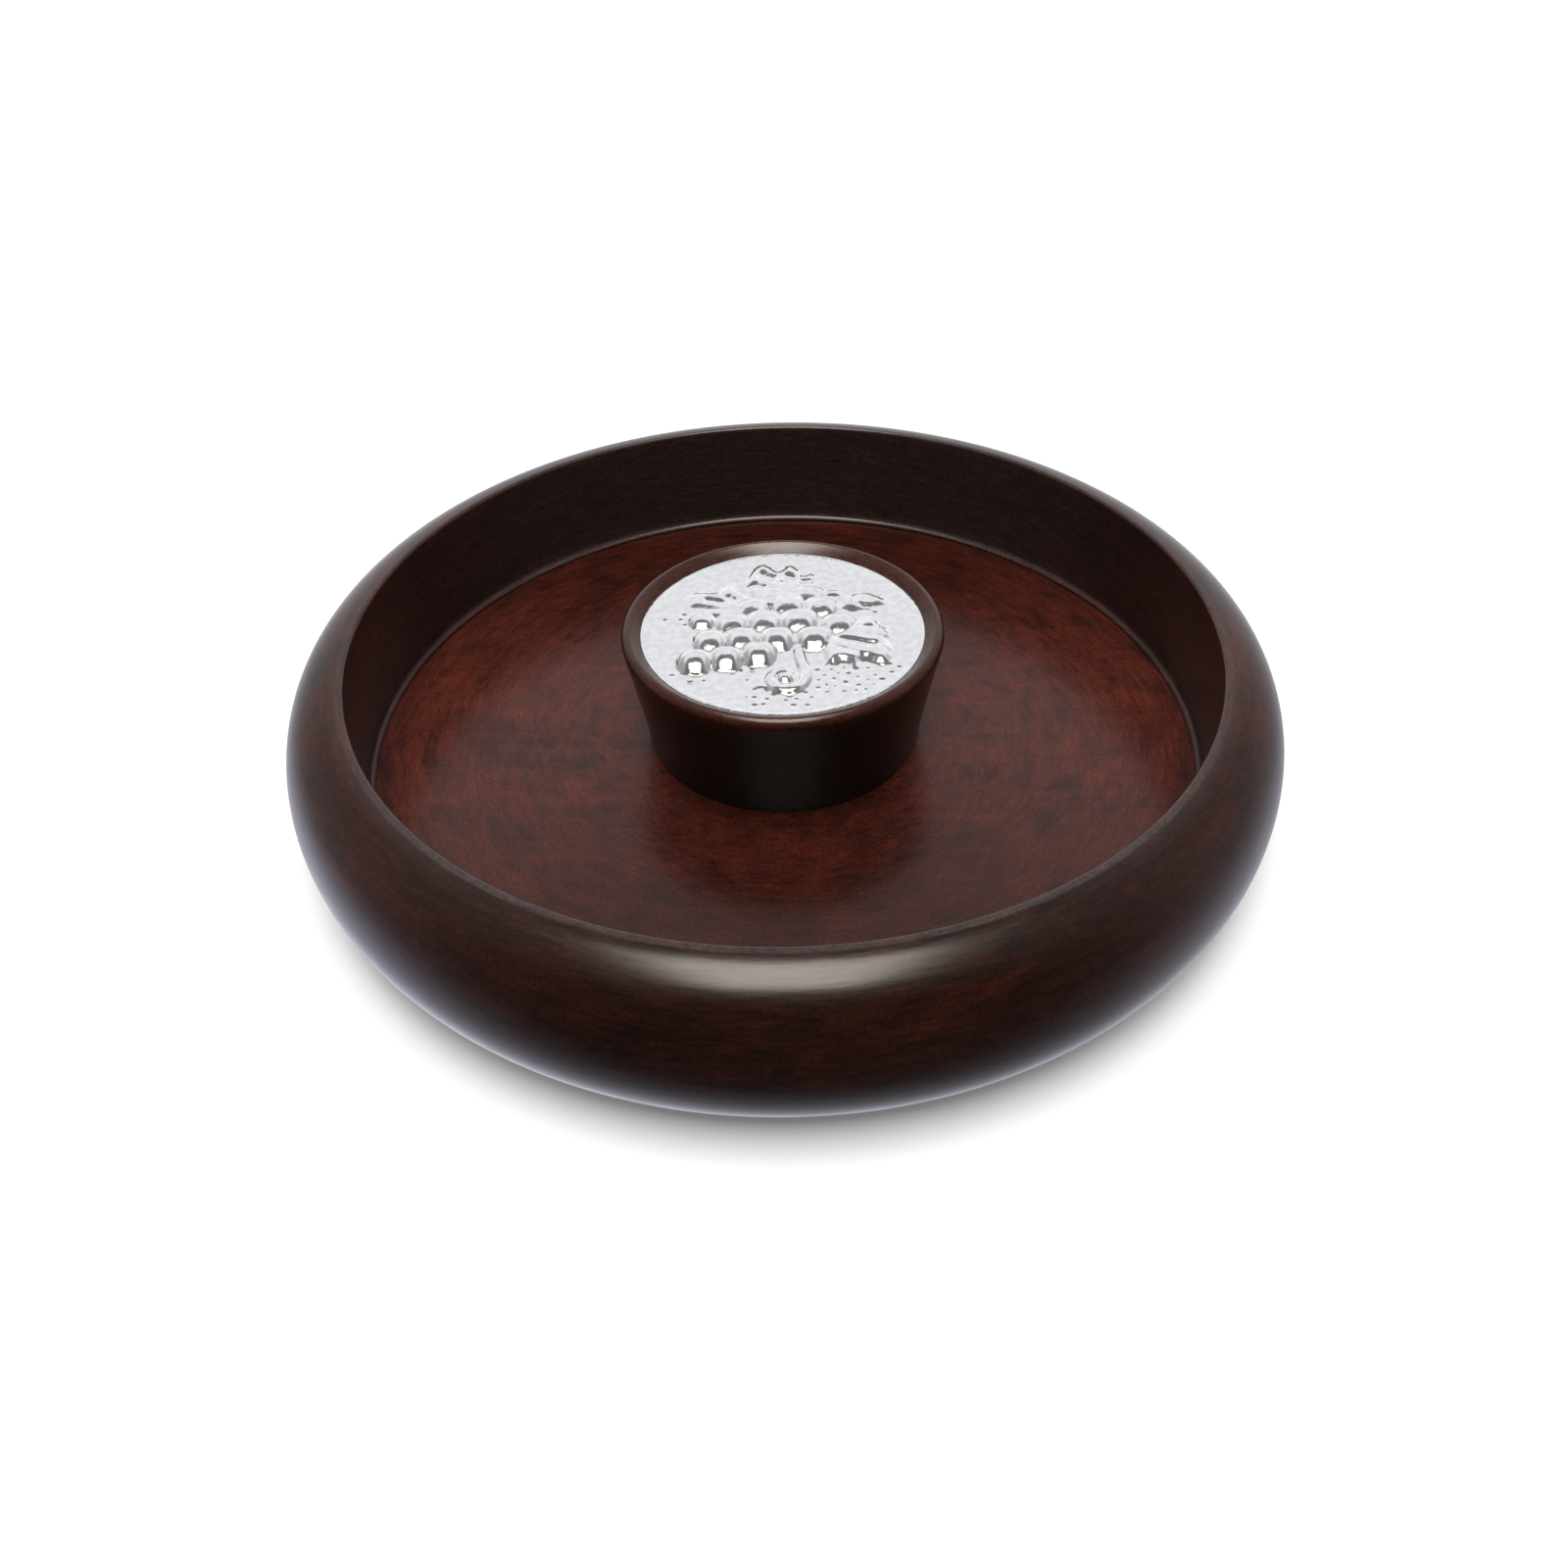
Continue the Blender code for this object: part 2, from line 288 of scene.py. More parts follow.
def stained_wood(name, dark, middle, light, ends, roughness=0.24, specular=0.35, pale=None):
    """Dark red-brown stain under satin lacquer, mottled and marked round by the lathe.

    The colour is darkened towards the two ±Y sides, down to the share given for the ends: painted shade.
    Pale is a function that gives the share and colour of a paler tint added on top: a painted sheen on the
    ring's inner wall, paler wood on the post's rim.
    """
    look, tree, shader, place = principled(name, {"Specular IOR Level": specular})
    lathe = lathe_space(tree, place)
    clouds = turning_marks(tree, lathe, 45.0, 4.0)
    figure = turning_marks(tree, lathe, 260.0, 11.0, 4.0)
    grain = stretched_noise(tree, place, (45.0, 420.0, 420.0), 4.0, 0.6)
    rings = turning_marks(tree, lathe, 1100.0, 15.0)
    specks = stretched_noise(tree, place, (1000.0, 1000.0, 1000.0), 3.0, 0.7)

    tone = math(tree, "ADD", math(tree, "MULTIPLY", clouds, 0.35),
                math(tree, "MULTIPLY", figure, 0.45))
    tone = math(tree, "ADD", tone, math(tree, "MULTIPLY", grain, 0.20))
    colour = mixed(tree, spread(tree, tone, 0.36, 0.52), (*dark, 1.0), (*middle, 1.0))
    colour = mixed(tree, spread(tree, tone, 0.48, 0.66), colour, (*light, 1.0))
    if pale:
        # The added tint is a painted sheen on the ring's inner wall and paler wood on the post's rim.
        share, tint = pale(tree, lathe)
        colour = mixed(tree, share, colour, (*tint, 1.0), "ADD")
    marks = math(tree, "MULTIPLY", spread(tree, rings, 0.25, 0.75, 0.75, 1.25),
                 spread(tree, specks, 0.3, 0.7, 0.7, 1.3))
    # Painted shade: towards the ±Y sides the colour darkens, down to the share in ends.
    shade = math(tree, "MULTIPLY", marks, spread(tree, lathe[4], 0.15, 1.0, 1.0, ends))
    colour = mixed(tree, 1.0, colour, grey(tree, shade), "MULTIPLY")
    tree.links.new(colour, shader.inputs["Base Color"])
    gloss = spread(tree, rings, 0.3, 0.7, roughness - 0.02, roughness + 0.03)
    tree.links.new(gloss, shader.inputs["Roughness"])
    bumped(tree, shader, rings, 0.025 * MM)
    return look


def painted_sheen_on_wall(tree, lathe):
    """Painted sheen: the upright wall inside the rim is greyer than the outside, most of all towards the
    ±Y sides.
    """
    wall = spread(tree, lathe[0], WALL_RADIUS + 3 * MM, WALL_RADIUS + 2 * MM)
    share = math(tree, "MULTIPLY", wall, spread(tree, lathe[4], 0.3, 1.0, 0.15, 1.0))
    return share, WALL_PAINTED_SHEEN


def pale_post_rim(tree, lathe):
    """The post is paler and redder towards its rim than on its side."""
    return spread(tree, lathe[1], 44 * MM, 50 * MM), POST_RIM_PALE


def polished_silver():
    look, tree, shader, place = principled("silver_look", {"Metallic": 1.0})
    cloud = stretched_noise(tree, place, (420.0, 420.0, 420.0), 5.0)
    fine = stretched_noise(tree, place, (1400.0, 1400.0, 1400.0), 3.0, 0.6)
    colour = mixed(tree, spread(tree, cloud, 0.35, 0.65), *SILVER_SHADES)
    tree.links.new(colour, shader.inputs["Base Color"])
    tree.links.new(spread(tree, cloud, 0.3, 0.7, 0.11, 0.16), shader.inputs["Roughness"])
    bumped(tree, shader, fine, 0.008 * MM)
    return look


def wool_felt():
    look, tree, shader, place = principled("felt_look", {"Roughness": 1.0, "Sheen Weight": 0.4})
    tuft = stretched_noise(tree, place, (500.0, 500.0, 500.0), 5.0, 0.7)
    hair = stretched_noise(tree, place, (3500.0, 900.0, 2000.0), 3.0, 0.7)
    both = math(tree, "ADD", math(tree, "MULTIPLY", tuft, 0.6), math(tree, "MULTIPLY", hair, 0.4))
    colour = mixed(tree, spread(tree, both, 0.35, 0.65), *FELT_SHADES)
    tree.links.new(colour, shader.inputs["Base Color"])
    bumped(tree, shader, both, 0.25 * MM)
    return look


def pressed_board():
    look, tree, shader, place = principled("board_look", {"Roughness": 0.9})
    pulp = stretched_noise(tree, place, (900.0, 500.0, 900.0), 5.0, 0.7)
    colour = mixed(tree, spread(tree, pulp, 0.3, 0.7), *BOARD_SHADES)
    tree.links.new(colour, shader.inputs["Base Color"])
    bumped(tree, shader, pulp, 0.08 * MM)
    return look


def screw_steel():
    look, tree, shader, place = principled("steel_look", {"Metallic": 1.0})
    wear = stretched_noise(tree, place, (700.0, 700.0, 250.0), 4.0, 0.6)
    tree.links.new(mixed(tree, wear, *STEEL_SHADES), shader.inputs["Base Color"])
    tree.links.new(spread(tree, wear, 0.3, 0.7, 0.25, 0.45), shader.inputs["Roughness"])
    bumped(tree, shader, wear, 0.01 * MM)
    return look


# ---------------------------------------------------------------- turned wood

def bowl_ring(look):
    """Rounded rim and upright wall: half an ellipse outside, nearly upright inside."""
    low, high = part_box("bowl_ring")
    half_width = high.x - WALL_RADIUS
    half_height = high.z / (1 + sin(radians(LIP_JOIN)))
    middle = half_height
    join = Vector((half_width * cos(radians(LIP_JOIN)), half_height * sin(radians(LIP_JOIN))))
    outward = Vector((join.x / half_width**2, join.y / half_height**2)).normalized()
    lip = join.x / (1 + outward.x)
    lip_r = WALL_RADIUS + lip
    lip_z = middle + join.y - lip * outward.y
    lip_end = degrees(atan2(outward.y, outward.x))

    below = (low.z + UNDERSIDE_EASE - middle) / half_height
    below_angle = -degrees(atan2(-below, sqrt(1 - below * below)))
    ease_r = WALL_RADIUS + half_width * sqrt(1 - below * below)
    foot_r = WALL_RADIUS + WALL_UNDERCUT - COVE_RADIUS
    ledge_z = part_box("floor_panel")[1].z + GAP
    cove_z = ledge_z + COVE_STEP + COVE_RADIUS

    profile = arc(lip_r, lip_z, lip, lip, 180, lip_end, 10)[1:-1]
    profile += arc(WALL_RADIUS, middle, half_width, half_height, LIP_JOIN, below_angle, 60)
    profile += arc(ease_r - UNDERSIDE_EASE, low.z + UNDERSIDE_EASE, UNDERSIDE_EASE, UNDERSIDE_EASE,
                   -10, -90, 4)
    profile += subdivided(profile[-1], (REBATE_RADIUS, low.z), 4)
    profile += [(REBATE_RADIUS, low.z), (REBATE_RADIUS, ledge_z), (foot_r, ledge_z)]
    profile += arc(foot_r, cove_z, COVE_RADIUS, COVE_RADIUS, -90, 0, 8)
    profile += subdivided(profile[-1], (WALL_RADIUS, lip_z), 12)
    profile.append((WALL_RADIUS, lip_z))
    points, faces = turned(profile, RING_STEPS)
    return piece("bowl_ring_turned", points, faces, look, "bowl_ring")


def center_post(look):
    """Flared post with a rounded rim, a recess with a sloped ledge on top and a spigot below."""
    low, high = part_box("center_post")
    top, bead = high.z, POST_RIM_BEAD
    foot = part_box("floor_panel")[1].z + GAP
    crest = high.x - bead
    floor = top - RECESS_DEPTH
    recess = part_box("medallion")[1].x + RECESS_CLEARANCE
    bead_end = Vector((crest + bead * cos(radians(BEAD_END)),
                       top - bead + bead * sin(radians(BEAD_END))))
    profile = [(0.0, floor), (recess, floor)]
    for share in np.linspace(0, 1, 11):
        profile.append((recess + (crest - recess) * share,
                        top - RECESS_SLOPE * (1 - share) + RECESS_CROWN * sin(pi * share)))
    profile += arc(crest, top - bead, bead, bead, 90, BEAD_END, 14)[1:]
    for step in range(1, 25):
        share = 1 - step / 24
        profile.append((POST_BASE_RADIUS + (bead_end.x - POST_BASE_RADIUS) * share**FLARE_POWER,
                        foot + (bead_end.y - foot) * share))
    profile += [(SPIGOT_RADIUS, foot), (SPIGOT_RADIUS, low.z), (0.0, low.z)]
    points, faces = turned(profile, POST_STEPS)
    made = piece("center_post_turned", points, faces, look, "center_post")
    for number in (1, 2, 3):
        name = f"post_screw_{number}"
        start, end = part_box(name)
        middle = (start + end) / 2
        hole = [(0.0, end.z + GAP), (SCREW_SHANK_RADIUS + GAP, end.z - 2 * SCREW_SHANK_RADIUS),
                (SCREW_SHANK_RADIUS + GAP, start.z), (0.0, start.z)]
        points, faces = turned(hole, SCREW_STEPS, middle.xy)
        cut(made, piece(f"hole_{number}", points, faces, look, None))
    return made


# ---------------------------------------------------------------- medallion, in millimetres

SHEET_STAND = 1.2              # the ground's height above the board and its glue line
BACK_LOSS = 0.3                # relief that the hollow back loses to the sheet
GRID = 264                     # squares across the medallion's face
BACK_SHARE = 3                 # the back has one square for this many of the face
CROWN = 2.5                    # above 2 the raised shapes have a fuller shoulder
SIDE_CROWN = 2.8               # the same across a grape

# Grapes: x, y, half width, reach towards the foot, reach towards the head, height
GRAPES = (
    (-26.3, -16.2, 5.8, 7.4, 4.8, 3.0), (-17.0, -15.0, 5.8, 7.3, 4.6, 3.0),
    (-7.3, -13.2, 5.7, 7.1, 4.6, 3.0),
    (-22.2, -5.6, 5.5, 7.4, 4.4, 2.3), (-12.5, -4.8, 5.7, 7.4, 4.5, 2.4),
    (-1.8, -5.2, 5.8, 7.6, 4.6, 2.7),
    (9.8, -5.4, 6.3, 7.8, 4.8, 2.9),
    (-15.5, 3.8, 5.4, 7.0, 4.2, 2.0), (-5.6, 4.6, 5.9, 7.4, 4.4, 2.1),
    (5.3, 4.8, 6.1, 7.4, 4.5, 2.2),
    (17.6, 2.0, 6.0, 7.4, 4.6, 2.3),
    (-9.2, 12.0, 5.5, 6.6, 4.0, 1.75), (1.8, 13.6, 5.9, 6.8, 4.0, 1.8),
    (12.2, 12.0, 5.7, 6.6, 4.0, 1.8),
    (-3.5, 19.0, 5.5, 6.4, 3.6, 1.55), (8.0, 19.2, 5.7, 6.4, 3.6, 1.55),
    (-25.0, 4.4, 4.4, 4.6, 3.2, 1.8), (-20.5, 8.6, 3.6, 3.4, 2.2, 1.0),
    (16.3, 18.8, 2.8, 1.8, 1.6, 0.5),
)

# Leaves: outline, height and width of the rounded edge
LEAVES = (
    (((-12.6, 24), (-11.8, 28.6), (-9.4, 34.4), (-6.2, 37), (-3, 35), (-0.9, 32.6), (1.2, 35.6), (4, 35.8),
      (6.4, 32.6), (7.2, 29.8), (9.8, 30.8), (12.4, 27.4), (11.4, 21), (6, 10), (-6, 10),
      (-11.4, 19)), 1.15, 3.4),
    (((-31.3, 13.6), (-31.3, 18.4), (-28, 21.2), (-21, 21.6), (-18.4, 25), (-15, 24), (-12.4, 19.6),
      (-7, 16), (-4, 8), (-13, 4), (-20, 10), (-24.6, 10.6), (-28.6, 11)), 0.65, 3.8),
    (((17.6, 11), (20.6, 16.6), (24, 19), (28.4, 18.6), (32.4, 15.6), (36.6, 12), (33.4, 9.4),
      (29.4, 6.6), (26, 8.6), (22, 7.4)), 1.0, 3.4),
    (((16, -3), (21, 1.4), (25.4, 5.4), (30, 4.4), (31.2, 0.4), (35.6, -4.2), (33.4, -8), (34, -13),
      (32.6, -19), (28.4, -20.6), (24, -18.8), (21.6, -22.2), (18.2, -19.4), (14.4, -20.2), (11.4, -17),
      (11, -8)), 1.45, 4.0),
)

# Hollows pressed along the leaves' lobes and veins: from, to, half width and depth
HOLLOWS = (
    ((-6.0, 29.6), (-3.0, 27.4), 1.9, 1.00), ((2.0, 28.4), (3.8, 27.4), 1.7, 0.90),
    ((7.0, 25.4), (9.6, 25.6), 1.8, 0.85), ((-10.2, 22.6), (-8.6, 23.6), 1.4, 0.72),
    ((-7.0, 22.4), (-5.6, 21.8), 1.2, 0.62), ((-1.4, 24.6), (0.4, 24.4), 0.9, 0.36),
    ((-23.4, 15.6), (-18.6, 14.4), 1.4, 0.68), ((-17.0, 17.0), (-14.4, 14.6), 1.3, 0.80),
    ((-13.4, 16.6), (-12.0, 14.8), 1.0, 0.60), ((20.2, 14.0), (21.4, 13.8), 1.3, 0.66),
    ((24.4, 11.6), (26.4, 10.8), 1.1, 0.36), ((29.6, 10.2), (33.2, 12.0), 1.5, 0.80),
    ((17.6, -7.4), (27.4, -11.0), 1.4, 0.74), ((26.6, 3.0), (29.4, 3.4), 1.1, 0.48),
    ((24.8, -1.4), (28.6, -1.8), 1.0, 0.42), ((32.2, -4.2), (35.0, -5.4), 1.4, 0.68),
    ((16.4, -12.4), (25.0, -16.4), 1.1, 0.24), ((18.0, -4.4), (31.0, -7.4), 1.0, 0.20),
    ((28.0, -10.0), (32.4, -14.6), 1.0, 0.24), ((17.0, -1.6), (25.0, 0.8), 1.1, 0.22),
)

LEAF_RISE = 0.4                # a hollow has its full depth where the leaf is this high
FLAT = 0.03                    # lower work than this counts as ground

# Tendril: x, y and half width along the stem and round the curl, then the free hook
TENDRIL = (
    (5.0, -10.0, 1.3), (4.8, -13.5, 1.8), (5.4, -18.0, 2.0), (6.5, -22.5, 2.1),
    (6.0, -27.5, 2.2), (3.8, -30.4, 2.4), (0.6, -31.2, 2.4), (-2.6, -29.8, 2.2),
    (-4.0, -26.8, 1.8), (-3.0, -23.8, 1.5), (-0.2, -22.4, 1.4), (2.2, -23.4, 1.2),
)
CURL_HEART = (0.5, -25.9, 2.6, 2.9, 2.3, 1.5)
HOOK = ((-3.6, -30.4, 0.8), (-6.6, -29.2, 1.1), (-9.4, -30.6, 1.1), (-10.8, -34.0, 0.7))
TENDRIL_HEIGHT = 1.0
HOOK_HEIGHT = 0.5

EDGE_RADIUS = 42.9             # thin raised line round the edge
EDGE_WIDTH = 0.6
EDGE_HEIGHT = 0.25

# Small punched dents.  Fields: left, right, bottom, top and how many dents
PUNCH_FIELDS = ((10, 36, -34, -20, 34), (-9, 9, -39.5, -31.5, 13), (-37, -8, -27, -21, 8),
                (-37, -29, 2, 9, 4))
PUNCH_SEED = 11
PUNCH_DEPTH = 0.5              # as a share of a dent's half width
PUNCH_SPACING = 2.6
PUNCH_LIMIT = 40.5             # radius that they stay inside
PUNCH_TRIES = 30               # for each dent wanted

# Shallow hammer marks all over the ground
HAMMER_HEIGHT = 0.055
HAMMER_SCALE = 0.42
HAMMER_FINE = 0.5              # share of the finer marks


def smooth_path(points, closed, between=6):
    """A Catmull-Rom curve through the points, which may carry more than two numbers."""
    at = np.array(points, float)
    count = len(at)
    steps = range(count if closed else count - 1)
    curve = []
    for i in steps:
        around = [i + k for k in (-1, 0, 1, 2)]
        a, b, c, d = at[[k % count if closed else min(max(k, 0), count - 1) for k in around]]
        for t in np.arange(between) / between:
            curve.append(0.5 * (2 * b + (c - a) * t + (2 * a - 5 * b + 4 * c - d) * t**2
                                + (3 * b - a - 3 * c + d) * t**3))
    if not closed:
        curve.append(at[-1])
    return np.array(curve)


def along(x, y, start, end):
    """Distance to a straight stretch, and the share of the way along it."""
    way = np.subtract(end, start)
    share = ((x - start[0]) * way[0] + (y - start[1]) * way[1]) / max(way @ way, 1e-9)
    share = np.clip(share, 0, 1)
    return np.hypot(x - start[0] - share * way[0], y - start[1] - share * way[1]), share


def grape(x, y, centre_x, centre_y, half_width, near, far, height):
    """A pressed cap whose crest lies towards its head, so that it leans over the one behind."""
    reach = np.where(y < centre_y, near, far)
    across = np.abs((x - centre_x) / half_width) ** SIDE_CROWN
    return height * np.maximum(1 - across - np.abs((y - centre_y) / reach) ** CROWN, 0)


def leaf(x, y, outline, height, edge):
    """A raised leaf with a soft edge that follows its outline."""
    curve = smooth_path(outline, closed=True)
    nearest = np.full(x.shape, 1e9)
    inside = np.zeros(x.shape, bool)
    for start, end in zip(curve, np.roll(curve, -1, axis=0)):
        nearest = np.minimum(nearest, along(x, y, start, end)[0])
        crosses = (start[1] > y) != (end[1] > y)
        reach = start[0] + (y - start[1]) * (end[0] - start[0]) / (end[1] - start[1] + 1e-12)
        inside ^= crosses & (x < reach)
    share = np.where(inside, np.minimum(nearest / edge, 1), 0)
    return height * share * share * (3 - 2 * share)


def ribbon(x, y, path, height):
    """A round raised line whose half width changes along it."""
    curve = smooth_path(path, closed=False, between=8)
    raised = np.zeros(x.shape)
    for start, end in zip(curve, curve[1:]):
        away, share = along(x, y, start[:2], end[:2])
        half = start[2] + share * (end[2] - start[2])
        crown = height * half / 2
        raised = np.maximum(raised, crown * np.maximum(1 - (away / half) ** CROWN, 0))
    return raised


def punches():
    """Small oval dents: x, y, half length and half width, scattered over their fields."""
    draw = Random(PUNCH_SEED)
    made = []
    for left, right, bottom, top, count in PUNCH_FIELDS:
        for _ in range(count * PUNCH_TRIES):
            x, y = draw.uniform(left, right), draw.uniform(bottom, top)
            clear = all(np.hypot(x - other[0], y - other[1]) > PUNCH_SPACING for other in made)
            if clear and np.hypot(x, y) < PUNCH_LIMIT and count > 0:
                made.append((x, y, draw.uniform(0.75, 1.25), draw.uniform(0.50, 0.72)))
                count -= 1
    return made


def relief(x, y):
    """Height of the raised work above the ground."""
    work = np.zeros(x.shape)
    for outline, height, edge in LEAVES:
        work = np.maximum(work, leaf(x, y, outline, height, edge))
    on_leaf = np.minimum(work / LEAF_RISE, 1)
    for start, end, half, depth in HOLLOWS:
        away = along(x, y, start, end)[0]
        work -= on_leaf * depth * np.exp(-((away / half) ** 2))
    for shape in (*GRAPES, CURL_HEART):
        work = np.maximum(work, grape(x, y, *shape))
    work = np.maximum(work, ribbon(x, y, TENDRIL, TENDRIL_HEIGHT))
    work = np.maximum(work, ribbon(x, y, HOOK, HOOK_HEIGHT))

    ground = np.zeros(x.shape)
    for dent_x, dent_y, long, wide in punches():
        fall = -(((x - dent_x) / long) ** 2) - ((y - dent_y) / wide) ** 2
        ground -= PUNCH_DEPTH * wide * np.exp(fall)
    work = np.where(np.abs(work) > FLAT, work, ground)
    radius = np.hypot(x, y)
    work = work * (radius < EDGE_RADIUS - EDGE_WIDTH)
    return work + EDGE_HEIGHT * np.exp(-(((radius - EDGE_RADIUS) / EDGE_WIDTH) ** 2))


def disc_grid(count, radius):
    """Square grid of points bent onto a disc, so that its squares stay even."""
    side = np.linspace(-1, 1, count + 1)
    a, b = np.meshgrid(side, side)
    wide = np.abs(a) > np.abs(b)
    reach = np.where(wide, a, b)
    safe = np.where(reach == 0, 1, reach)
    angle = np.where(wide, pi / 4 * b / safe, pi / 2 - pi / 4 * a / safe)
    return radius * reach * np.cos(angle), radius * reach * np.sin(angle)


def softened(heights):
    """Round the creases off, as pressed sheet does."""
    rows = np.pad(heights, ((1, 1), (0, 0)), "edge")
    heights = (rows[:-2] + 2 * rows[1:-1] + rows[2:]) / 4
    columns = np.pad(heights, ((0, 0), (1, 1)), "edge")
    return (columns[:, :-2] + 2 * columns[:, 1:-1] + columns[:, 2:]) / 4


def hammered(x, y):
    """Shallow uneven marks, coarse ones with finer ones on them."""
    marks = []
    for a, b in zip(x.flat, y.flat):
        coarse = noise.noise(Vector((a * HAMMER_SCALE, b * HAMMER_SCALE, 0.0)))
        marks.append(coarse + HAMMER_FINE * noise.noise(Vector((a, b, 5.0))))
    return HAMMER_HEIGHT * np.reshape(marks, x.shape)


def border(count):
    """Indices round the edge of a square grid, in order."""
    side = count + 1
    south = list(range(count))
    east = [count + side * i for i in range(count)]
    north = [side * count + count - i for i in range(count)]
    west = [side * (count - i) for i in range(count)]
    return south + east + north + west


def medallion(look):
    """Pressed sheet about 1.2 mm thick: the face carries the picture, the back is hollow."""
    low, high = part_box("medallion")
    radius = high.x / MM
    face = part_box("medallion_backing")[1].z + GAP + SHEET_STAND * MM
    points, faces = [], []
    for count, is_face in ((GRID, True), (GRID // BACK_SHARE, False)):
        x, y = disc_grid(count, radius)
        z = softened(relief(x, y))
        if is_face:
            z = face + (z + hammered(x, y)) * MM
        else:
            z = low.z + np.maximum(z - BACK_LOSS, 0) * MM
        start = len(points)
        points += list(zip(x.ravel() * MM, y.ravel() * MM, z.ravel()))
        side = count + 1
        for row in range(count):
            for column in range(count):
                first = start + row * side + column
                corners = (first, first + 1, first + side + 1, first + side)
                faces.append(corners if is_face else corners[::-1])
    front = border(GRID)
    back = [len(points) - (GRID // BACK_SHARE + 1) ** 2 + i for i in border(GRID // BACK_SHARE)]
    for i, corner in enumerate(back):
        above = [front[(BACK_SHARE * i + k) % len(front)] for k in range(BACK_SHARE + 1)]
        faces.append((*above[::-1], corner, back[(i + 1) % len(back)]))
    return piece("medallion_pressed", points, faces, look, "medallion", sharp=70)


# ---------------------------------------------------------------- hidden pieces

def felt_pad(look):
    """Felt disc with soft edges and an uneven, fibrous face."""
    low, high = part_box("base_felt")
    thick = high.z - low.z
    ease = FELT_EASE * thick
    radius = high.x
    profile = [(0.0, high.z)]
    profile += [(r, high.z) for r in np.linspace(0, radius - ease, 60)[1:]]
    profile += arc(radius - ease, high.z - ease, ease, ease, 90, 0, 5)[1:]
    profile += arc(radius - ease, low.z + ease, ease, ease, 0, -90, 5)
    profile += [(r, low.z) for r in np.linspace(radius - ease, 0, 60)[1:]]
    points, faces = turned(profile, FELT_STEPS)
    middle = (low.z + high.z) / 2
    soft = []
    for x, y, z in points:
        lump = 0.5 + 0.5 * noise.noise(Vector((x, y, z)) * FELT_LUMPS_PER_METRE)
        soft.append((x, y, z + (middle - z) * FELT_LUMP * lump))
    return piece("base_felt_pad", soft, faces, look, "base_felt", sharp=180)


def post_screw(number, look):
    """Slotted countersunk wood screw with a helical thread and a point."""
    name = f"post_screw_{number}"
    low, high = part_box(name)
    middle = (low + high) / 2
    head = (high.x - low.x) / 2
    cone = low.z + head - SCREW_SHANK_RADIUS
    length = high.z - cone
    profile = [(0.0, high.z)]
    for row in range(1, SCREW_ROWS):
        share = row / SCREW_ROWS
        radius = SCREW_SHANK_RADIUS * min(1, SCREW_POINT + share * SCREW_TAPER)
        profile.append((radius, high.z - length * share))
    profile += [(SCREW_SHANK_RADIUS, cone), (head - 0.1 * MM, low.z + 0.15 * MM),
                (head, low.z + 0.1 * MM), (head - 0.1 * MM, low.z), (0.0, low.z)]
    points, faces = turned(profile, SCREW_STEPS)
    threaded = []
    for x, y, z in points:
        height = high.z - z
        if 0 < height < length * SCREW_THREADED:
            phase = (height / SCREW_PITCH + atan2(y, x) / (2 * pi)) % 1
            ridge = max(0.0, 1 - abs(phase - 0.5) / SCREW_RIDGE_HALF)
            root = SCREW_ROOT + SCREW_RIDGE * ridge
            x, y = x * root, y * root
        threaded.append((x + middle.x, y + middle.y, z))
    made = piece(name + "_threaded", threaded, faces, look, name)
    bar = bmesh.new()
    bmesh.ops.create_cube(bar, size=1.0)
    bmesh.ops.scale(bar, vec=(3 * head, SCREW_SLOT_WIDTH, 2 * SCREW_SLOT_DEPTH), verts=bar.verts)
    bmesh.ops.translate(bar, vec=(middle.x, middle.y, low.z), verts=bar.verts)
    data = bpy.data.meshes.new("slot")
    bar.to_mesh(data)
    bar.free()
    cutter = bpy.data.objects.new("slot", data)
    bpy.context.scene.collection.objects.link(cutter)
    cut(made, cutter)
    return made


# ---------------------------------------------------------------- studio

def studio_floor():
    """White floor that glows more and more with distance, so that no horizon shows."""
    values = {"Roughness": 1.0, "Specular IOR Level": 0.0, "Emission Color": (1.0, 1.0, 1.0, 1.0)}
    look, tree, shader, place = principled("floor_look", values)
    away = node(tree, "VectorMath", {0: place}, operation="LENGTH").outputs["Value"]
    glow = spread(tree, away, FLOOR_GLOW_START, FLOOR_GLOW_END, FLOOR_GLOW_NEAR, 1.0)
    tree.links.new(glow, shader.inputs["Emission Strength"])
    cloud = stretched_noise(tree, place, (2.0, 2.0, 2.0), 2.0)
    tree.links.new(mixed(tree, cloud, *FLOOR_SHADES), shader.inputs["Base Color"])
    half = FLOOR_SIZE / 2
    corners = [(-half, -half, 0.0), (half, -half, 0.0), (half, half, 0.0), (-half, half, 0.0)]
    floor = piece("studio_floor", corners, [(0, 1, 2, 3)], look, None)
    floor.visible_glossy = False


def softbox(name, radiance, silver, wanted):
    """Overhead softbox that lights either the silver alone or everything else."""
    lamp = bpy.data.lights.new(name, "AREA")
    lamp.shape = "RECTANGLE"
    lamp.size = 2 * SOFTBOX_SIDE * SOFTBOX_HEIGHT
    lamp.size_y = (SOFTBOX_BACK + SOFTBOX_FRONT) * SOFTBOX_HEIGHT
    lamp.energy = radiance * pi * lamp.size * lamp.size_y
    lamp.color = SOFTBOX_COLOUR
    made = bpy.data.objects.new(name, lamp)
    made.location = (-SOFTBOX_LEFT * SOFTBOX_HEIGHT,
                     (SOFTBOX_BACK - SOFTBOX_FRONT) / 2 * SOFTBOX_HEIGHT, SOFTBOX_HEIGHT)
    bpy.context.scene.collection.objects.link(made)
    lit = bpy.data.collections.new(name + "_receivers")
    lit.objects.link(silver)
    lit.collection_objects[0].light_linking.link_state = wanted
    made.light_linking.receiver_collection = lit


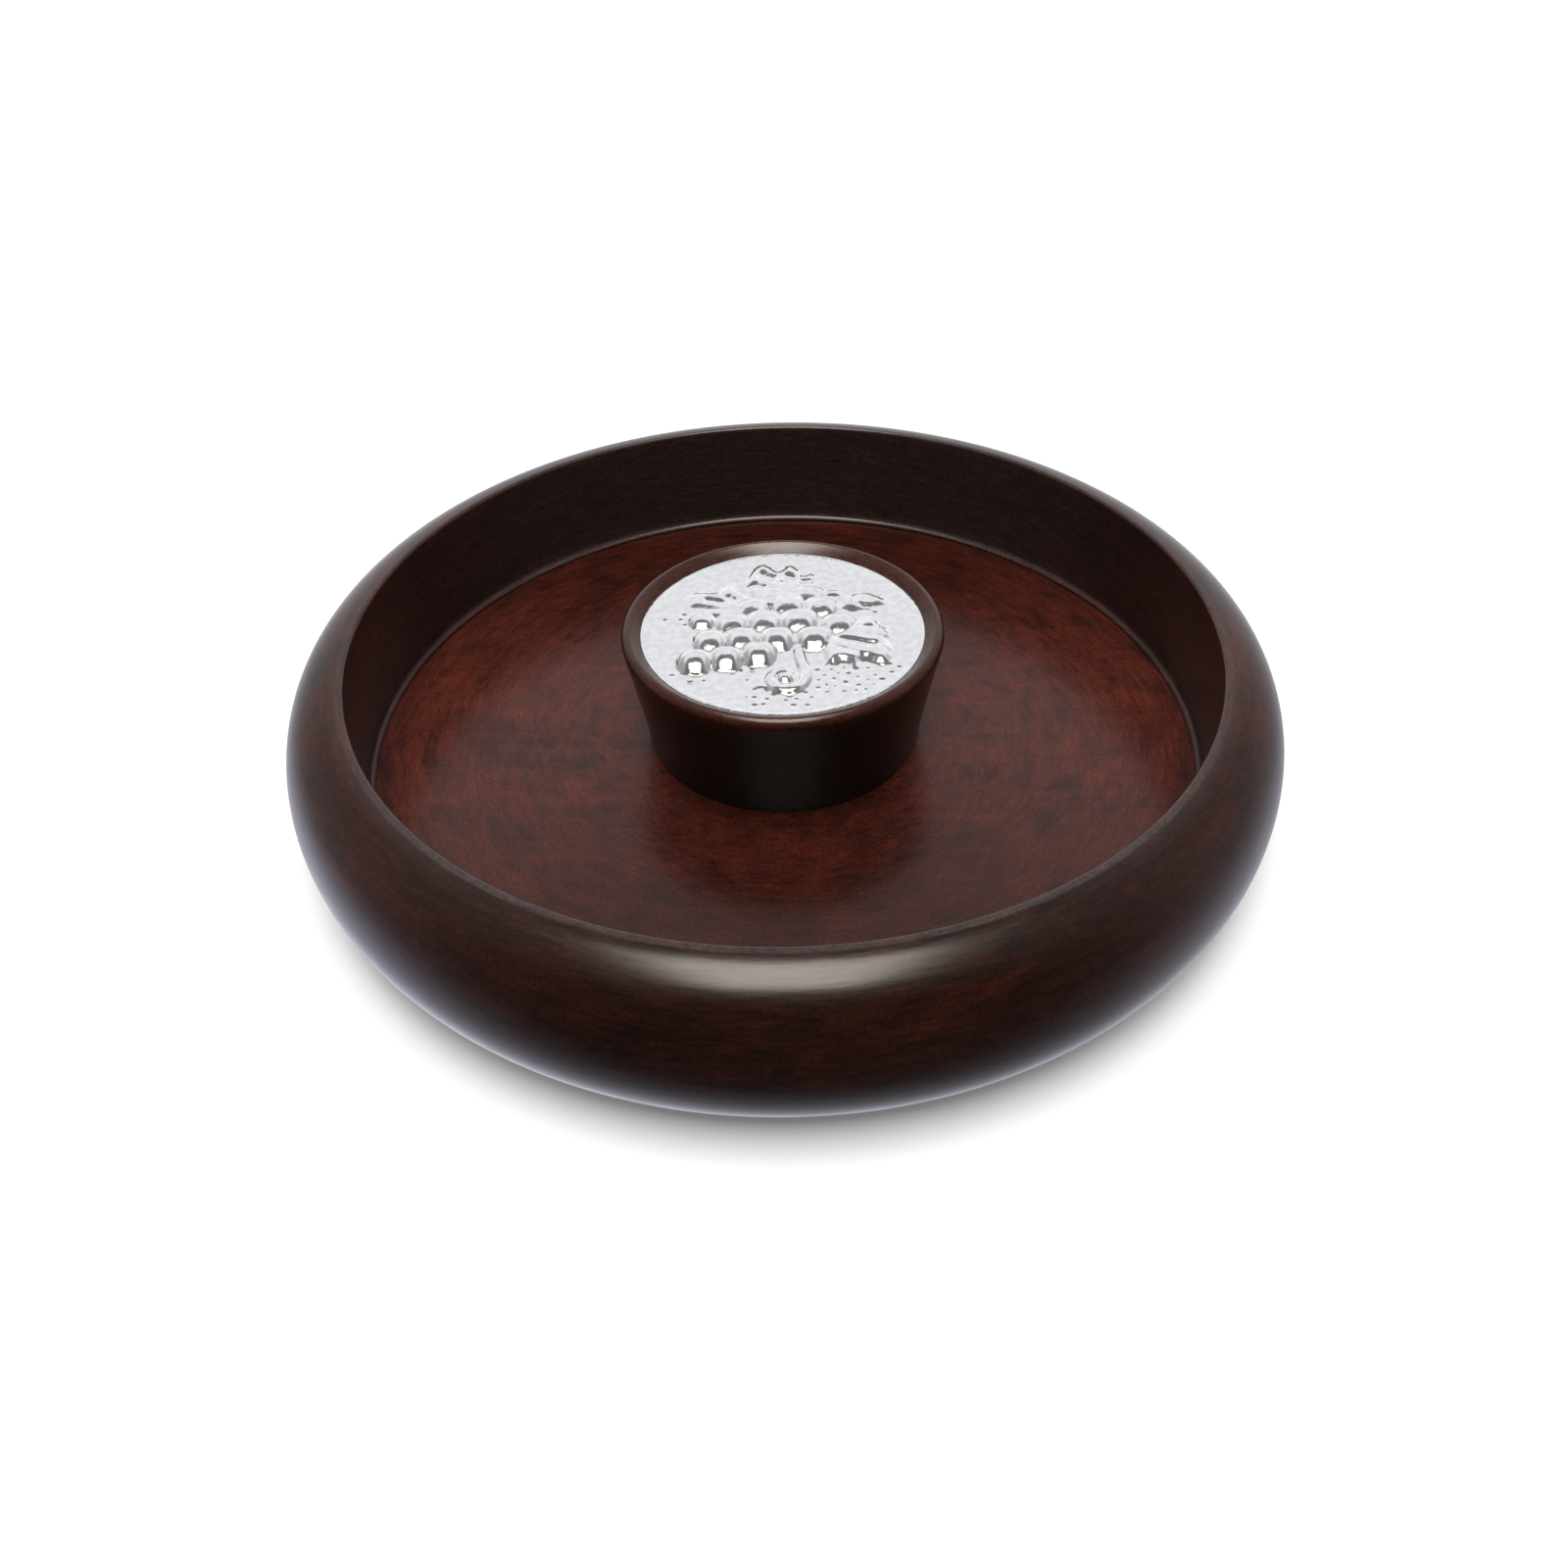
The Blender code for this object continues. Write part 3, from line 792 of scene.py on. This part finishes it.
def surroundings():
    """What the gloss sees, by direction, while the camera itself sees plain white.

    A pale backdrop and a brighter panel stand behind the plate, the room before it and the
    ceiling are dim, and bluish light comes from below the horizon.
    """
    world = bpy.data.worlds.new("studio")
    bpy.context.scene.world = world
    world.use_nodes = True
    tree = world.node_tree
    way = node(tree, "TexCoord", {}).outputs["Generated"]
    east, north, up = node(tree, "SeparateXYZ", {0: way}).outputs
    side = spread(tree, north, -0.75, 0.10, 0.05, 0.38)
    side = math(tree, "MULTIPLY", side, spread(tree, up, 0.72, 0.92, 1.0, 0.45))
    panel = math(tree, "MULTIPLY", spread(tree, up, 0.83, 0.79),
                 spread(tree, up, 0.10, 0.80, 0.30, 0.50))
    panel = math(tree, "MULTIPLY", panel,
                 spread(tree, math(tree, "ABSOLUTE", east), 0.74, 0.40))
    panel = math(tree, "MULTIPLY", panel, spread(tree, north, 0.0, 0.4))
    glow = math(tree, "MULTIPLY", spread(tree, up, 0.55, 0.15, 0.0, 0.35),
                spread(tree, north, 0.50, 0.90))
    below = math(tree, "MULTIPLY", spread(tree, up, -0.05, -0.55),
                 spread(tree, north, -0.75, 0.5))
    below = math(tree, "MULTIPLY", below, spread(tree, east, -0.4, 0.4, 0.9, 0.45))
    below = math(tree, "MULTIPLY", below, spread(tree, north, 0.35, 0.75, 1.0, 0.28))
    level = math(tree, "ADD", math(tree, "ADD", side, panel), glow)
    seen = mixed(tree, 1.0, grey(tree, level), BACKDROP_TINT, "MULTIPLY")
    shaded = mixed(tree, 1.0, grey(tree, below), BELOW_TINT, "MULTIPLY")
    seen = mixed(tree, 1.0, seen, shaded, "ADD")
    background = tree.nodes["Background"]
    straight = node(tree, "LightPath", {}).outputs["Is Camera Ray"]
    colour = mixed(tree, straight, seen, (1.0, 1.0, 1.0, 1.0))
    tree.links.new(colour, background.inputs["Color"])


def camera():
    data = bpy.data.cameras.new("camera")
    data.lens = CAMERA_LENS
    data.sensor_width = SENSOR
    made = bpy.data.objects.new("camera", data)
    aim = (CAMERA_TARGET - CAMERA_PLACE).to_track_quat("-Z", "Y").to_matrix().to_4x4()
    roll = Matrix.Rotation(CAMERA_ROLL, 4, "Z")
    made.matrix_world = Matrix.Translation(CAMERA_PLACE) @ aim @ roll
    bpy.context.scene.collection.objects.link(made)
    bpy.context.scene.camera = made


def carry_over(name, look):
    """Give a CAD node that stays in view its finished material."""
    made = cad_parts[name]
    made.data.materials.clear()
    made.data.materials.append(look)


def main():
    # Where ends is below 1, painted shade darkens the ring and the floor towards the ±Y sides.
    ring_wood = stained_wood("ring_wood", *RING_STAIN, ends=0.48, roughness=0.25, pale=painted_sheen_on_wall)
    floor_wood = stained_wood("floor_wood", *FLOOR_STAIN, ends=0.48, specular=0.30)
    post_wood = stained_wood("post_wood", *POST_STAIN, ends=1.0, roughness=0.28, specular=0.36,
                             pale=pale_post_rim)
    camera()
    bowl_ring(ring_wood)
    carry_over("floor_panel", floor_wood)
    center_post(post_wood)
    silver = medallion(polished_silver())
    carry_over("medallion_backing", pressed_board())
    felt_pad(wool_felt())
    steel = screw_steel()
    for number in (1, 2, 3):
        post_screw(number, steel)
    studio_floor()
    softbox("softbox", SOFTBOX_RADIANCE, silver, "EXCLUDE")
    softbox("silver_softbox", SILVER_RADIANCE, silver, "INCLUDE")
    surroundings()
    bpy.context.scene.view_settings.view_transform = "Standard"


main()
